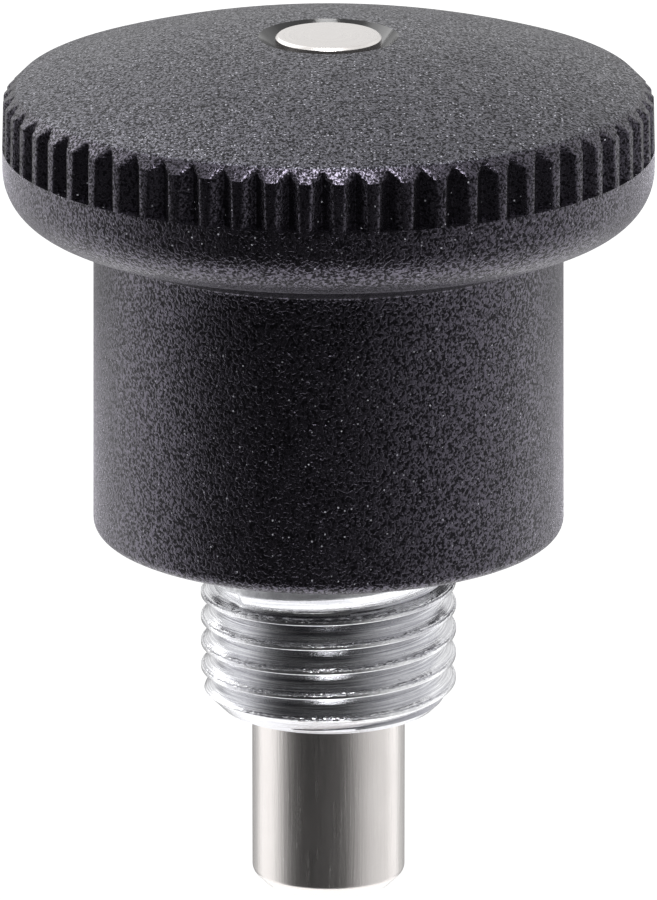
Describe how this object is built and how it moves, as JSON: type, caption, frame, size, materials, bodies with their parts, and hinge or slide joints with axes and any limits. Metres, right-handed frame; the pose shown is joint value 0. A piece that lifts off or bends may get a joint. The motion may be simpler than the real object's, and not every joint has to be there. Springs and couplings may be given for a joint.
{
  "type": "indexing plunger",
  "caption": "Sprung indexing plunger with a mushroom pull knob, a threaded guide and a plain locating pin; it has no rest position.",
  "frame": {"origin": "on the axis, in the seat face of the guide that lands on the mating plate", "axes": "+Z along the axis from the seat towards the knob; the pin points along -Z; two flats of the hexagon are square to X"},
  "size_m": [0.0252, 0.0252, 0.0343],
  "materials": {
    "plated_steel": "turned steel, bright zinc plated",
    "stainless_steel": "stainless steel, turned and ground",
    "spring_steel": "drawn stainless spring wire",
    "black_polyamide": "glass-filled polyamide with a fine eroded texture"
  },
  "bodies": {
    "guide": {"guide_body": "plated_steel", "compression_spring": "spring_steel"},
    "plunger": {"plunger_pin": "stainless_steel", "knob": "black_polyamide"}
  },
  "joints": [
    {"name": "knob_pull", "type": "slide", "parent": "guide", "child": "plunger", "axis": [0, 0, 1], "range_m": [0, 0.0074], "stiffness_N_per_m": 1600, "springref_m": -0.0035, "deforming": ["compression_spring"]}
  ]
}
